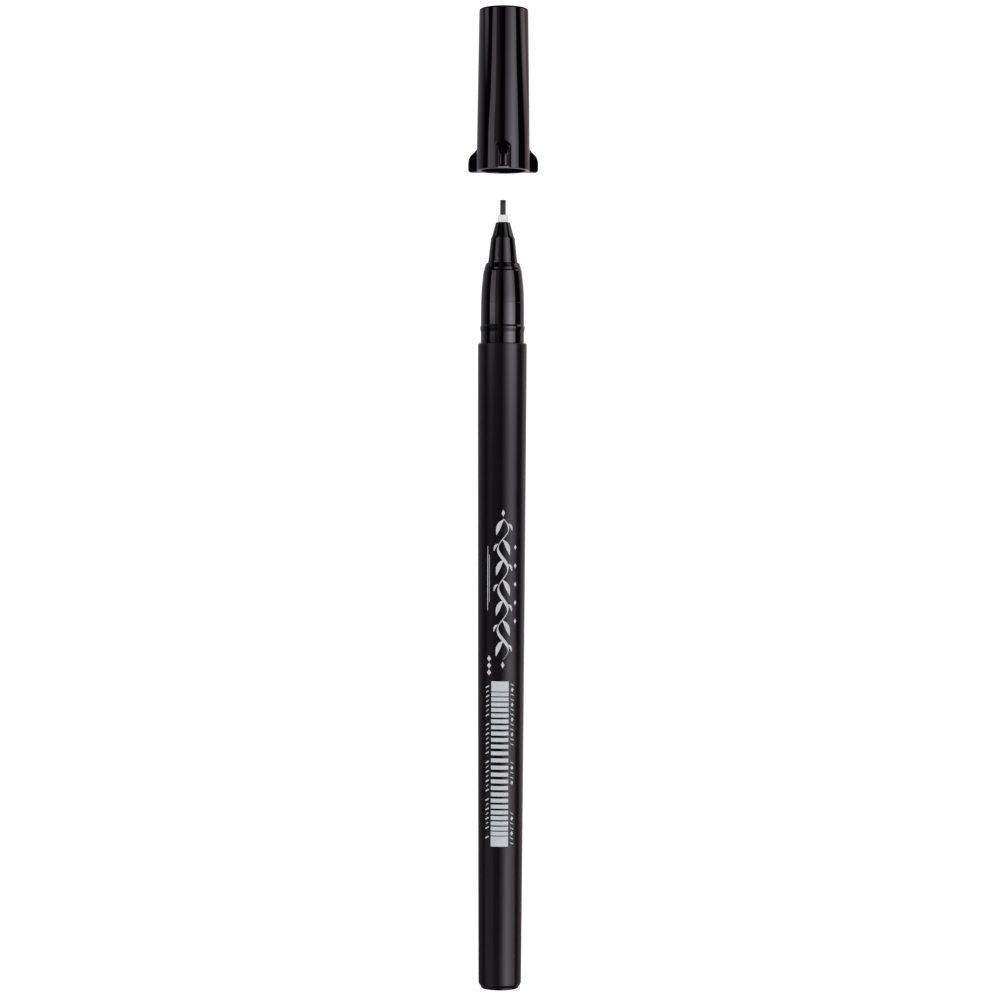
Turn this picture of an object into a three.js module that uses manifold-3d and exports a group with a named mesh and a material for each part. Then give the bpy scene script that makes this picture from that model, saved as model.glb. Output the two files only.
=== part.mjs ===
// Calligraphy pen with its cap pulled off, lying along X on a table.
// Millimetres, +Z up. The tail points to -X, the nib and then the cap to +X.
// The table is the plane z = 0. The cap lies on it, with one of its three fins upright.
// Stations along the pen are measured from the tail face.

import * as THREE from 'three';
import { mergeVertices } from 'three/addons/utils/BufferGeometryUtils.js';
import Module from 'manifold-3d';

// ---------------------------------------------------------------- dimensions

const OVERALL = 184.34; // tail face to cap top, cap off as laid out
const AXIS_Z = 5.01; // height of the pen's axis when the cap lies on its side

// tail plug
const PLUG_LIP = 0.4; // thickness of the lip that shows past the barrel
const PLUG_LIP_R = 3.58;
const PLUG_STEM_R = 3.11;
const PLUG_STEM_END = 7.0;
const PLUG_WALL = 0.8;

// barrel: a moulded tube that narrows to the tail
const BARREL_FRONT = 121.28;
const BARREL_TAPER = [
  [1.15, 3.955],
  [25.8, 4.092],
  [56.0, 4.258],
  [90.0, 4.415],
  [121.06, 4.548],
];
const BARREL_TAIL_BORE_R = 3.15;
const BARREL_STOP_R = 2.6; // narrow stretch whose front edge stops the reservoir
const BARREL_STOP = [7.6, 23.5];
const BARREL_BORE_R = [3.26, 3.6]; // behind the socket, at its tail and front
const BARREL_SOCKET = 112.4; // the front socket starts here
const BARREL_SOCKET_R = 3.72;

// front section
const SPIGOT_END = 112.9;
const SPIGOT_R = 3.66;
const SEAT_GAP = 0.03; // shoulder to barrel, and holder to cone
const NECK_R = 4.01;
const BEAD = [
  [123.4, 4.01],
  [123.8, 4.09],
  [124.2, 4.142],
  [124.5, 4.11],
  [124.85, 4.01],
];
const COLLAR = [
  [128.9, 4.01],
  [130.2, 3.965],
  [131.9, 3.865],
  [133.4, 3.745],
  [134.5, 3.615],
  [135.25, 3.495],
  [136.42, 3.135],
  [136.66, 2.99],
];
const CONE = [
  [136.66, 2.71],
  [138.6, 2.5],
  [141.05, 2.21],
  [141.28, 2.17],
];
const SECTION_BORE_R = 3.14; // takes the front of the reservoir
const SECTION_BORE_END = 126.2;
const HOLDER_SEAT = 136.2; // the narrow front bore starts here
const HOLDER_SEAT_R = 1.66;

// tip holder
const HOLDER_CONE = [
  [141.31, 2.03],
  [142.3, 1.785],
  [143.4, 1.49],
  [144.06, 1.3],
  [144.25, 1.21],
  [144.32, 1.08],
];
const HOLDER_STEM_R = 1.62;
const HOLDER_STEM_END = 134.6;
const HOLDER_BORE_R = 0.945;

// white sleeve
const SLEEVE_R = 0.905;
const SLEEVE_BORE_R = 0.57;
const SLEEVE = [135.0, 145.8];

// nib: a round shank, ground flat into a chisel blade
const NIB_SHANK_R = 0.52;
const NIB_SHANK = [117.0, 145.25];
const NIB_WIDTH = 0.9;
const NIB_THICK = 0.46;
const NIB_EDGE = 0.26; // thickness across the writing edge
const NIB_BEVEL = 0.75; // length of the ground slope
const NIB_TIP = 148.38;

// ink reservoir and its film
const CORE = [23.8, 125.0];
const CORE_R = 2.94;
const CORE_HOLE_R = 0.58;
const CORE_HOLE = 116.7; // the nib's shank goes in to here
const FILM_R = [2.97, 3.07];

// cap, with its stations measured from the mouth
const CAP_LENGTH = 30.47;
const CAP_OUTER = [
  [0.0, 4.93],
  [0.09, 5.01],
  [4.5, 4.965],
  [14.1, 4.848],
  [23.2, 4.713],
  [30.09, 4.616],
  [30.23, 4.59],
  [30.36, 4.505],
  [30.44, 4.39],
  [30.47, 4.23],
];
const CAP_BORE = [
  [29.2, 3.7],
  [15.7, 3.87],
  [15.3, 4.07],
  [5.8, 4.09],
  [5.2, 4.22],
  [0.16, 4.22],
  [0.0, 4.34],
];
const CAP_END_WALL = 29.2;
const FIN_COUNT = 3;
const FIN_TIP_R = 7.5;
const FIN_HALF_WIDTH = 1.14; // at radius 5, where a fin leaves the cap
const FIN_EDGE_R = 0.6;
const FIN_DRAFT = 0.17; // each side leans in by this much per millimetre
const FIN_ROOT_R = 4.55;

// inner seal, with its stations measured from the cap's mouth
const SEAL_OUTER = [
  [15.95, 3.825],
  [29.12, 3.655],
];
const SEAL_LIP = 15.45;
const SEAL_LIP_R = 3.5;
const SEAL_BORE = [
  [27.7, 0.0],
  [27.7, 2.08],
  [20.2, 2.4],
  [15.6, 2.8],
  [15.45, 2.86],
];

const AROUND = 48; // facets round the large turned pieces
const AROUND_SMALL = 32; // facets round the small ones

// ---------------------------------------------------------------- materials

const finish = (color, roughness, metalness = 0) =>
  new THREE.MeshStandardMaterial({ color, roughness, metalness });

const GLOSS_BLACK = () => finish(0x0b0a0c, 0.12);
const MATTE_BLACK = () => finish(0x1a1819, 0.48);
const WHITE_PLASTIC = () => finish(0xf1efec, 0.4);
const NIB_BLACK = () => finish(0x1b1b1c, 0.45);
const FIBRE = () => finish(0x16141c, 0.95);
const FILM = () => finish(0xdfe3e4, 0.25);
const SOFT_SEAL = () => finish(0x161517, 0.35);

// ---------------------------------------------------------------- shapes

// A closed profile of [station, radius] pairs turned about the pen's axis.
// It runs out along the outside towards the front and back along the inside.
function turned(profile, around) {
  const points = profile.map(([s, r]) => new THREE.Vector2(r, s));
  return new THREE.LatheGeometry(points, around);
}

function closed(profile) {
  return [...profile, profile[0]];
}

const wasm = await Module();
wasm.setup();

function toSolid(geometry) {
  const bare = geometry.clone();
  bare.deleteAttribute('normal');
  bare.deleteAttribute('uv');
  const merged = mergeVertices(bare, 1e-4);
  const index = merged.index.array;
  const tri = [];
  for (let i = 0; i < index.length; i += 3) {
    const [a, b, c] = [index[i], index[i + 1], index[i + 2]];
    if (a !== b && b !== c && c !== a) tri.push(a, b, c);
  }
  return new wasm.Manifold(
    new wasm.Mesh({
      numProp: 3,
      vertProperties: new Float32Array(merged.attributes.position.array),
      triVerts: new Uint32Array(tri),
    }),
  );
}

function toGeometry(solid) {
  const mesh = solid.getMesh();
  const geometry = new THREE.BufferGeometry();
  const step = mesh.numProp;
  const count = mesh.vertProperties.length / step;
  const position = new Float32Array(count * 3);
  for (let i = 0; i < count; i++) {
    for (let k = 0; k < 3; k++) position[3 * i + k] = mesh.vertProperties[step * i + k];
  }
  geometry.setAttribute('position', new THREE.BufferAttribute(position, 3));
  geometry.setIndex(new THREE.BufferAttribute(new Uint32Array(mesh.triVerts), 1));
  geometry.computeVertexNormals();
  return geometry;
}

// ---------------------------------------------------------------- pieces

// Every turned piece stands on the lathe's own axis, Y. The pen's group lays Y along X.

function tailPlug() {
  const inner = PLUG_STEM_R - PLUG_WALL;
  return turned(
    [
      [0, 0],
      [0, 3.4],
      [0.06, 3.5],
      [0.2, PLUG_LIP_R],
      [PLUG_LIP - 0.02, PLUG_LIP_R],
      [PLUG_LIP - 0.02, PLUG_STEM_R],
      [PLUG_STEM_END - 0.4, PLUG_STEM_R],
      [PLUG_STEM_END, PLUG_STEM_R - 0.25],
      [PLUG_STEM_END, inner],
      [1.3, inner - 0.1],
      [1.3, 0],
    ],
    AROUND,
  );
}

function barrel() {
  return turned(
    closed([
      [PLUG_LIP, BARREL_TAIL_BORE_R],
      [PLUG_LIP, 3.62],
      [0.55, 3.75],
      [0.8, 3.87],
      ...BARREL_TAPER,
      [121.22, 4.5],
      [BARREL_FRONT, 4.4],
      [BARREL_FRONT, BARREL_SOCKET_R],
      [BARREL_SOCKET, BARREL_SOCKET_R],
      [BARREL_SOCKET, BARREL_BORE_R[1]],
      [BARREL_STOP[1], BARREL_BORE_R[0]],
      [BARREL_STOP[1], BARREL_STOP_R],
      [BARREL_STOP[0], BARREL_STOP_R],
      [BARREL_STOP[0], BARREL_TAIL_BORE_R],
    ]),
    AROUND,
  );
}

function frontSection() {
  const shoulder = BARREL_FRONT + SEAT_GAP;
  return turned(
    closed([
      [SPIGOT_END, SECTION_BORE_R],
      [SPIGOT_END, SPIGOT_R - 0.25],
      [SPIGOT_END + 0.4, SPIGOT_R],
      [shoulder, SPIGOT_R],
      [shoulder, NECK_R],
      ...BEAD,
      ...COLLAR,
      ...CONE,
      [141.28, HOLDER_SEAT_R],
      [HOLDER_SEAT, HOLDER_SEAT_R],
      [134.2, 2.25],
      [SECTION_BORE_END + 1.2, 2.75],
      [SECTION_BORE_END, SECTION_BORE_R],
    ]),
    AROUND,
  );
}

function tipHolder() {
  return turned(
    closed([
      [HOLDER_STEM_END, HOLDER_BORE_R],
      [HOLDER_STEM_END, HOLDER_STEM_R - 0.2],
      [HOLDER_STEM_END + 0.3, HOLDER_STEM_R],
      [HOLDER_CONE[0][0], HOLDER_STEM_R],
      ...HOLDER_CONE,
      [144.32, HOLDER_BORE_R],
    ]),
    AROUND_SMALL,
  );
}

function nibSleeve() {
  return turned(
    closed([
      [SLEEVE[0], SLEEVE_BORE_R],
      [SLEEVE[0], SLEEVE_R],
      [SLEEVE[1] - 0.14, SLEEVE_R],
      [SLEEVE[1] - 0.04, SLEEVE_R - 0.05],
      [SLEEVE[1], SLEEVE_R - 0.15],
      [SLEEVE[1], SLEEVE_BORE_R],
    ]),
    AROUND_SMALL,
  );
}

// The blade's wide faces look along the lathe's X, and its width runs along the lathe's Z.
function nib() {
  const shank = turned(
    [
      [NIB_SHANK[0], 0],
      [NIB_SHANK[0], NIB_SHANK_R - 0.22],
      [NIB_SHANK[0] + 0.6, NIB_SHANK_R],
      [NIB_SHANK[1], NIB_SHANK_R],
      [NIB_SHANK[1], 0],
    ],
    AROUND_SMALL / 2,
  );
  const outline = new THREE.Shape();
  const back = NIB_SHANK[1] - 1.5;
  outline.moveTo(-NIB_THICK / 2, back);
  outline.lineTo(NIB_THICK / 2, back);
  outline.lineTo(NIB_THICK / 2, NIB_TIP - NIB_BEVEL);
  outline.lineTo(NIB_EDGE / 2, NIB_TIP);
  outline.lineTo(-NIB_EDGE / 2, NIB_TIP);
  outline.lineTo(-NIB_THICK / 2, NIB_TIP - NIB_BEVEL);
  outline.closePath();
  const blade = new THREE.ExtrudeGeometry(outline, { depth: NIB_WIDTH, bevelEnabled: false });
  blade.translate(0, 0, -NIB_WIDTH / 2);
  return toGeometry(toSolid(shank).add(toSolid(blade)));
}

function inkReservoir() {
  return turned(
    [
      [CORE[0], 0],
      [CORE[0], CORE_R],
      [CORE[1], CORE_R],
      [CORE[1], CORE_HOLE_R],
      [CORE_HOLE, CORE_HOLE_R],
      [CORE_HOLE, 0],
    ],
    AROUND,
  );
}

function reservoirFilm() {
  return turned(
    closed([
      [CORE[0], FILM_R[0]],
      [CORE[0], FILM_R[1]],
      [CORE[1], FILM_R[1]],
      [CORE[1], FILM_R[0]],
    ]),
    AROUND,
  );
}

// One fin, standing out along the lathe's X from the cap's wall, flush with the mouth.
// Its side outline is cut by its end-on outline, which rounds the crest's two long edges.
function fin() {
  const side = new THREE.Shape();
  side.moveTo(FIN_ROOT_R, 0);
  side.lineTo(FIN_TIP_R - 0.575, 0);
  side.quadraticCurveTo(FIN_TIP_R - 0.04, 0.0, FIN_TIP_R, 0.6);
  side.lineTo(FIN_TIP_R, 1.5);
  side.bezierCurveTo(FIN_TIP_R, 2.58, 7.2, 3.02, 6.52, 3.5);
  side.lineTo(5.94, 3.86);
  side.lineTo(5.68, 4.18);
  side.lineTo(5.27, 4.5);
  side.lineTo(FIN_ROOT_R, 5.05);
  side.closePath();
  const inner = 3.9;
  const half = (r) => FIN_HALF_WIDTH - FIN_DRAFT * (r - 5);
  const plate = new THREE.ExtrudeGeometry(side, {
    depth: 2 * half(inner),
    bevelEnabled: false,
    curveSegments: 5,
  });
  plate.translate(0, 0, -half(inner));

  const end = new THREE.Shape();
  const lean = Math.atan(FIN_DRAFT);
  const r = FIN_TIP_R - FIN_EDGE_R;
  const c = half(r) - FIN_EDGE_R / Math.cos(lean);
  end.moveTo(inner, -half(inner));
  end.absarc(r, -c, FIN_EDGE_R, -Math.PI / 2 + lean, 0, false);
  end.absarc(r, c, FIN_EDGE_R, 0, Math.PI / 2 - lean, false);
  end.lineTo(inner, half(inner));
  end.closePath();
  const bar = new THREE.ExtrudeGeometry(end, { depth: 6, bevelEnabled: false, curveSegments: 4 });
  bar.translate(0, 0, -0.5);
  bar.rotateX(-Math.PI / 2); // its length now runs along Y

  return toSolid(plate).intersect(toSolid(bar));
}

function capShell() {
  let solid = toSolid(
    turned([[CAP_END_WALL, 0], ...CAP_BORE, ...CAP_OUTER, [CAP_LENGTH, 0]], AROUND),
  );
  for (let i = 0; i < FIN_COUNT; i++) {
    const turn = toGeometry(fin());
    turn.rotateY(-Math.PI / 2 + (i * 2 * Math.PI) / FIN_COUNT); // the first one points up
    solid = solid.add(toSolid(turn));
  }
  return toGeometry(solid);
}

function capInnerSeal() {
  return turned(
    [
      ...SEAL_BORE,
      [SEAL_LIP, SEAL_LIP_R],
      ...SEAL_OUTER,
      [SEAL_OUTER[1][0], 0],
    ],
    AROUND,
  );
}

// ---------------------------------------------------------------- assembly

const calligraphyPen = new THREE.Group();
calligraphyPen.position.set(-OVERALL / 2, 0, AXIS_Z);

const body = new THREE.Group();
const cap = new THREE.Group();
cap.position.x = OVERALL - CAP_LENGTH;
calligraphyPen.add(body, cap);

function place(parent, name, geometry, material, roll = 0) {
  const mesh = new THREE.Mesh(geometry, material);
  mesh.name = name;
  const turn = new THREE.Group();
  turn.rotation.z = -Math.PI / 2; // lays the lathe's axis along +X
  mesh.rotation.y = roll;
  turn.add(mesh);
  parent.add(turn);
}

place(body, 'barrel', barrel(), MATTE_BLACK());
place(body, 'tail_plug', tailPlug(), GLOSS_BLACK());
place(body, 'front_section', frontSection(), GLOSS_BLACK());
place(body, 'tip_holder', tipHolder(), GLOSS_BLACK());
place(body, 'nib_sleeve', nibSleeve(), WHITE_PLASTIC());
place(body, 'nib', nib(), NIB_BLACK(), -Math.PI / 2);
place(body, 'ink_reservoir', inkReservoir(), FIBRE());
place(body, 'reservoir_film', reservoirFilm(), FILM());
place(cap, 'cap_shell', capShell(), GLOSS_BLACK());
place(cap, 'cap_inner_seal', capInnerSeal(), SOFT_SEAL());

export default calligraphyPen;
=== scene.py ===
"""A calligraphy pen with its cap pulled off, laid out in line on a pale floor.

Metres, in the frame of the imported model: +X runs from the tail to the nib and on to the cap, +Z is up.
Lengths in the shape code are in millimetres. Stations along the pen are measured from the tail face, and
stations on the cap from its mouth. An angle round the pen is measured from the line that faces the camera,
which is straight up, and grows to the right as the camera sees it.
"""

import math

import bpy
import numpy as np
from mathutils import Matrix, Vector


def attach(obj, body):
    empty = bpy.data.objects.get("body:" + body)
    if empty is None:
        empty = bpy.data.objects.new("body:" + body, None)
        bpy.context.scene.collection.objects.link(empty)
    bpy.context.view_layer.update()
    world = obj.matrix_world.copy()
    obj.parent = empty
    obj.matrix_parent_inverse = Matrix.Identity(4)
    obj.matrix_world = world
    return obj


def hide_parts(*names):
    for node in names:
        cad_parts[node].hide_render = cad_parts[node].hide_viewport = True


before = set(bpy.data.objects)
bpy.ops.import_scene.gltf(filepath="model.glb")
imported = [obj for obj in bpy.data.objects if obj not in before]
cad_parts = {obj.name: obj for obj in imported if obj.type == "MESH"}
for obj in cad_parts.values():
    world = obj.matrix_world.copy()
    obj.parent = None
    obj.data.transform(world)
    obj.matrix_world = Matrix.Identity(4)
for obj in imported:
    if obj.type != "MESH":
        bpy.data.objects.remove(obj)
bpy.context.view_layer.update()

MM = 0.001
HALF = 92.17  # half of the overall length
AXIS_Z = 5.01  # height of the pen's axis
MOUTH = 153.87  # station of the cap's mouth
CAP_LENGTH = 30.47
FACING = math.radians(90)  # direction of the line that faces the camera, from +Y towards +Z


# ------------------------------------------------------------------ mesh helpers


def ring_point(station, radius, angle):
    """Points at a station, radius and angle round the pen, in metres."""
    t = FACING + angle
    return np.stack(
        [
            (station - HALF) * MM + 0 * t,
            radius * np.cos(t) * MM,
            (AXIS_Z + radius * np.sin(t)) * MM,
        ],
        -1,
    )


def mesh_object(name, verts, faces, normals=None, smooth=True):
    mesh = bpy.data.meshes.new(name)
    mesh.from_pydata([tuple(map(float, v)) for v in verts], [], faces)
    mesh.validate()
    mesh.update()
    if smooth:
        mesh.polygons.foreach_set("use_smooth", [True] * len(mesh.polygons))
        if normals is not None:
            mesh.normals_split_custom_set_from_vertices(
                [tuple(map(float, n)) for n in normals]
            )
    obj = bpy.data.objects.new(name, mesh)
    bpy.context.scene.collection.objects.link(obj)
    return obj


def spline(points, per_span=6):
    """A natural cubic through the points, by chord length, with per_span steps in each span."""
    p = np.array(points, float)
    n = len(p)
    t = np.concatenate([[0], np.cumsum(np.linalg.norm(np.diff(p, axis=0), axis=1))])
    h = np.diff(t)
    a = np.zeros((n, n))
    b = np.zeros((n, 2))
    a[0, 0] = a[-1, -1] = 1
    for i in range(1, n - 1):
        a[i, i - 1], a[i, i], a[i, i + 1] = h[i - 1], 2 * (h[i - 1] + h[i]), h[i]
        b[i] = 6 * ((p[i + 1] - p[i]) / h[i] - (p[i] - p[i - 1]) / h[i - 1])
    m = np.linalg.solve(a, b)
    out = []
    for i in range(n - 1):
        for k in range(per_span):
            u = t[i] + h[i] * k / per_span
            lo, hi = u - t[i], t[i + 1] - u
            q = (
                m[i] * hi**3 + m[i + 1] * lo**3
            ) / (6 * h[i]) + (p[i] / h[i] - m[i] * h[i] / 6) * hi + (
                p[i + 1] / h[i] - m[i + 1] * h[i] / 6
            ) * lo
            out.append(tuple(q))
    out.append(tuple(p[-1]))
    return out


def rounded(points, closed, arc=7):
    """Rows [station, radius, normal along, normal out] of a profile. A point is (station, radius) or
    (station, radius, fillet), and a fillet is an arc of that radius."""
    pts = [(float(q[0]), float(q[1]), float(q[2]) if len(q) > 2 else 0.0) for q in points]
    n = len(pts)
    rows = []
    for i, (s, r, f) in enumerate(pts):
        here = np.array([s, r])
        if not closed and i in (0, n - 1):
            other = np.array(pts[1 if i == 0 else n - 2][:2])
            d = (other - here) if i == 0 else (here - other)
            d = d / np.linalg.norm(d)
            rows.append((s, r, -d[1], d[0]))
            continue
        before = here - np.array(pts[i - 1][:2])
        after = np.array(pts[(i + 1) % n][:2]) - here
        l1, l2 = np.linalg.norm(before), np.linalg.norm(after)
        d1, d2 = before / l1, after / l2
        n1, n2 = np.array([-d1[1], d1[0]]), np.array([-d2[1], d2[0]])
        turn = math.atan2(d1[0] * d2[1] - d1[1] * d2[0], float(d1 @ d2))
        if f <= 0 or abs(turn) < 1e-4:
            m = n1 + n2
            m = m / max(np.linalg.norm(m), 1e-9)
            rows.append((s, r, m[0], m[1]))
            continue
        trim = min(f * math.tan(abs(turn) / 2), 0.48 * l1, 0.48 * l2)
        radius = trim / math.tan(abs(turn) / 2)
        side = 1 if turn > 0 else -1
        centre = here - d1 * trim + side * n1 * radius
        steps = max(3, int(round(arc * min(1.0, abs(turn) / (math.pi / 2))) + 1))
        for k in range(steps + 1):
            a = turn * k / steps
            c, w = math.cos(a), math.sin(a)
            nn = np.array([c * n1[0] - w * n1[1], w * n1[0] + c * n1[1]])
            q = centre - side * nn * radius
            rows.append((q[0], q[1], nn[0], nn[1]))
    return rows


def lathe(name, profile, closed, around=192, offset=0.0):
    """A turned piece. The profile runs along the outside towards the front and back along the inside."""
    rows = rounded(profile, closed)
    angles = np.arange(around) * (2 * math.pi / around)
    verts, normals, faces, starts = [], [], [], []
    count = 0
    for s, r, along, out in rows:
        t = FACING + angles
        if r < 1e-6:
            verts.append(ring_point(s + offset, 0.0, np.zeros(1)))
            normals.append(np.array([[1.0 if along > 0 else -1.0, 0, 0]]))
            starts.append((count, 1))
            count += 1
            continue
        verts.append(ring_point(s + offset, r, angles))
        normals.append(
            np.stack([along + 0 * t, out * np.cos(t), out * np.sin(t)], -1)
        )
        starts.append((count, around))
        count += around
    pairs = list(zip(starts, starts[1:]))
    if closed:
        pairs.append((starts[-1], starts[0]))
    for (a, na), (b, nb) in pairs:
        for j in range(around):
            k = (j + 1) % around
            if na == 1 and nb == 1:
                break
            if na == 1:
                faces.append((a, b + k, b + j))
            elif nb == 1:
                faces.append((a + j, a + k, b))
            else:
                faces.append((a + j, a + k, b + k, b + j))
    return mesh_object(name, np.concatenate(verts), faces, np.concatenate(normals))


# ------------------------------------------------------------------ material helpers


class Nodes:
    """A short way to write a material's nodes."""

    def __init__(self, name):
        self.material = bpy.data.materials.new(name)
        self.material.use_nodes = True
        self.tree = self.material.node_tree
        self.tree.nodes.clear()
        self.out = self.add("ShaderNodeOutputMaterial")
        self.shader = self.add("ShaderNodeBsdfPrincipled")
        self.link(self.shader.outputs["BSDF"], self.out.inputs["Surface"])
        self.where = self.add("ShaderNodeTexCoord").outputs["Object"]

    def add(self, kind, **values):
        node = self.tree.nodes.new(kind)
        for key, value in values.items():
            setattr(node, key, value)
        return node

    def link(self, a, b):
        self.tree.links.new(a, b)

    def stretched(self, x, y, z):
        node = self.add("ShaderNodeMapping")
        node.inputs["Scale"].default_value = (x, y, z)
        self.link(self.where, node.inputs["Vector"])
        return node.outputs["Vector"]

    def noise(self, scale, detail=3.0, rough=0.5, vector=None, distortion=0.0):
        node = self.add("ShaderNodeTexNoise")
        node.inputs["Scale"].default_value = scale
        node.inputs["Detail"].default_value = detail
        node.inputs["Roughness"].default_value = rough
        node.inputs["Distortion"].default_value = distortion
        self.link(vector if vector is not None else self.where, node.inputs["Vector"])
        return node.outputs["Fac"]

    def ramp(self, value, stops, interpolation="LINEAR"):
        node = self.add("ShaderNodeValToRGB")
        node.color_ramp.interpolation = interpolation
        while len(node.color_ramp.elements) < len(stops):
            node.color_ramp.elements.new(0.5)
        for element, (at, colour) in zip(node.color_ramp.elements, stops):
            element.position = at
            element.color = (*colour, 1) if len(colour) == 3 else colour
        self.link(value, node.inputs["Fac"])
        return node.outputs["Color"]

    def span(self, value, low, high, to_low, to_high):
        node = self.add("ShaderNodeMapRange")
        for key, v in (
            ("From Min", low),
            ("From Max", high),
            ("To Min", to_low),
            ("To Max", to_high),
        ):
            node.inputs[key].default_value = v
        self.link(value, node.inputs["Value"])
        return node.outputs["Result"]

    def math(self, operation, a, b):
        node = self.add("ShaderNodeMath", operation=operation)
        for socket, v in zip(node.inputs, (a, b)):
            if isinstance(v, (int, float)):
                socket.default_value = v
            else:
                self.link(v, socket)
        return node.outputs["Value"]

    def bump(self, height, distance, strength=1.0, normal=None):
        node = self.add("ShaderNodeBump")
        node.inputs["Distance"].default_value = distance
        node.inputs["Strength"].default_value = strength
        self.link(height, node.inputs["Height"])
        if normal is not None:
            self.link(normal, node.inputs["Normal"])
        return node.outputs["Normal"]

    def finish(self, colour=None, roughness=None, normal=None, **sockets):
        if colour is not None:
            self.link(colour, self.shader.inputs["Base Color"])
        if roughness is not None:
            self.link(roughness, self.shader.inputs["Roughness"])
        if normal is not None:
            self.link(normal, self.shader.inputs["Normal"])
        for key, value in sockets.items():
            self.shader.inputs[key.replace("_", " ")].default_value = value
        return self.material


def gloss_black(name, seed):
    """Polished moulded black: a faint flow along the moulding, and a few dull specks of handling."""
    n = Nodes(name)
    flow = n.noise(1.0, 2.0, 0.5, n.stretched(26 + seed, 210, 210))
    fine = n.noise(900, 3.0, 0.55)
    haze = n.noise(70 + 3 * seed, 4.0, 0.6)
    colour = n.ramp(haze, [(0.3, (0.0012, 0.0011, 0.0013)), (0.75, (0.0022, 0.0020, 0.0022))])
    rough = n.math("ADD", n.span(haze, 0.35, 0.75, 0.045, 0.075), n.span(fine, 0.62, 0.8, 0.0, 0.03))
    normal = n.bump(flow, 0.0000035)
    normal = n.bump(fine, 0.0000004, normal=normal)
    return n.finish(colour, rough, normal, IOR=1.5)


def matte_black():
    """The barrel's matte moulding: a fine even grain, slightly warm."""
    n = Nodes("barrel_matte_black")
    grain = n.noise(5200, 2.0, 0.6)
    cloud = n.noise(160, 4.0, 0.6)
    colour = n.ramp(cloud, [(0.3, (0.0044, 0.0036, 0.0044)), (0.7, (0.0056, 0.0046, 0.0055))])
    rough = n.math("ADD", n.span(cloud, 0.3, 0.7, 0.23, 0.26), n.span(grain, 0.3, 0.7, -0.02, 0.02))
    normal = n.bump(grain, 0.0000016)
    return n.finish(colour, rough, normal, IOR=1.43, Specular_Tint=(1.0, 0.955, 0.985, 1))


def white_plastic():
    n = Nodes("sleeve_white")
    cloud = n.noise(900, 3.0, 0.5)
    fine = n.noise(6000, 2.0, 0.5)
    colour = n.ramp(cloud, [(0.3, (0.93, 0.92, 0.915)), (0.7, (0.96, 0.955, 0.95))])
    rough = n.span(fine, 0.3, 0.7, 0.34, 0.44)
    return n.finish(colour, rough, n.bump(fine, 0.0000015), IOR=1.48)


def nib_material():
    """A hard fibre nib stained by its ink, with streaks along its length."""
    n = Nodes("nib_ink_black")
    streak = n.noise(1.0, 4.0, 0.6, n.stretched(700, 14000, 14000))
    colour = n.ramp(streak, [(0.3, (0.012, 0.012, 0.012)), (0.7, (0.032, 0.032, 0.033))])
    rough = n.span(streak, 0.3, 0.7, 0.3, 0.46)
    return n.finish(colour, rough, n.bump(streak, 0.000006), IOR=1.5)


def fibre_material():
    n = Nodes("reservoir_fibre")
    strand = n.noise(1.0, 5.0, 0.65, n.stretched(120, 9000, 9000))
    colour = n.ramp(strand, [(0.3, (0.006, 0.006, 0.010)), (0.7, (0.022, 0.021, 0.03))])
    rough = n.span(strand, 0.3, 0.7, 0.8, 0.98)
    return n.finish(colour, rough, n.bump(strand, 0.00003))


def film_material():
    n = Nodes("reservoir_film_clear")
    crease = n.noise(1.0, 3.0, 0.5, n.stretched(90, 500, 500))
    colour = n.ramp(crease, [(0.3, (0.74, 0.77, 0.78)), (0.7, (0.84, 0.86, 0.87))])
    rough = n.span(crease, 0.3, 0.7, 0.16, 0.3)
    return n.finish(colour, rough, n.bump(crease, 0.00002), IOR=1.5)


def seal_material():
    n = Nodes("cap_seal_satin_black")
    fine = n.noise(1500, 3.0, 0.5)
    colour = n.ramp(fine, [(0.3, (0.006, 0.006, 0.0062)), (0.7, (0.011, 0.0108, 0.011))])
    rough = n.span(fine, 0.3, 0.7, 0.32, 0.44)
    return n.finish(colour, rough, n.bump(fine, 0.000004), IOR=1.5)


def print_material():
    """Pad-printed ink: light grey-white, with slight density changes."""
    n = Nodes("barrel_print_white")
    cloud = n.noise(420, 4.0, 0.6)
    fine = n.noise(7000, 2.0, 0.6)
    colour = n.ramp(cloud, [(0.3, (0.60, 0.63, 0.67)), (0.7, (0.70, 0.72, 0.77))])
    rough = n.span(fine, 0.3, 0.7, 0.5, 0.62)
    return n.finish(colour, rough, n.bump(fine, 0.000002), IOR=1.45)


def wear(obj, material):
    obj.data.materials.clear()
    obj.data.materials.append(material)


# ------------------------------------------------------------------ pen: turned pieces

TAPER = spline([(1.15, 4.01), (25.8, 4.155), (56.0, 4.323), (90.0, 4.482), (120.86, 4.618)], 6)


def barrel_radius(s):
    p = np.array(TAPER)
    return np.interp(s, p[:, 0], p[:, 1])


def make_barrel():
    tail_corner = spline([(0.4, 3.62), (0.5, 3.72), (0.68, 3.845), (0.92, 3.966), (1.15, 4.01)], 4)
    profile = [
        (0.4, 3.15, 0.03),
        *[(s, r) for s, r in tail_corner[:-1]],
        *TAPER[:-1],
        (121.1, 4.6, 0.4),
        (121.28, 4.53, 0.16),
        (121.28, 3.72, 0.05),
        (112.4, 3.72, 0.1),
        (112.4, 3.6, 0.03),
        (23.5, 3.26, 0.1),
        (23.5, 2.6, 0.1),
        (7.6, 2.6, 0.1),
        (7.6, 3.15, 0.1),
    ]
    return lathe("barrel_tube", profile, True, 208)


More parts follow.
